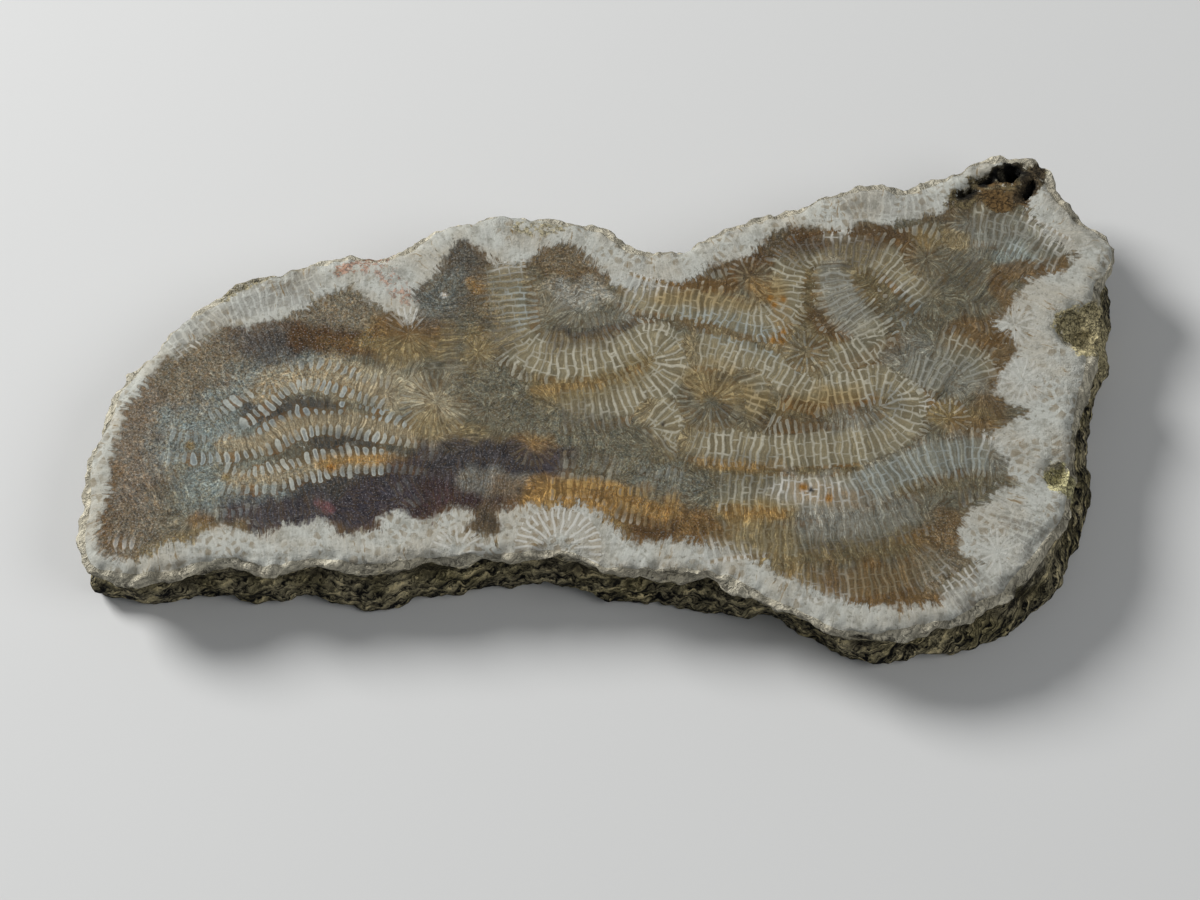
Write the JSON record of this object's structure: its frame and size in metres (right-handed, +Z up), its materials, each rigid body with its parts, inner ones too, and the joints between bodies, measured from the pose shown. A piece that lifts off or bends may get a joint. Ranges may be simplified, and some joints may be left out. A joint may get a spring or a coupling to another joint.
{
  "type": "fossil brain coral slab",
  "caption": "Slab of fossil brain coral lying flat: polished upper face with winding valleys, sawn flat back and rough natural edge.",
  "frame": {"origin": "middle of the slab's footprint box on the surface that the sawn back rests on", "axes": "+X along the slab's length towards its broad end, +Y across it towards the edge with the corner hollow, +Z up out of the polished face"},
  "size_m": [0.1524, 0.0776, 0.013],
  "materials": {
    "fossil_stone": "satin polished face in grey, rust and purple chalcedony inside a chalky white rim, rough dry wall"
  },
  "bodies": {
    "root": {"coral_slab": "fossil_stone"}
  },
  "joints": []
}
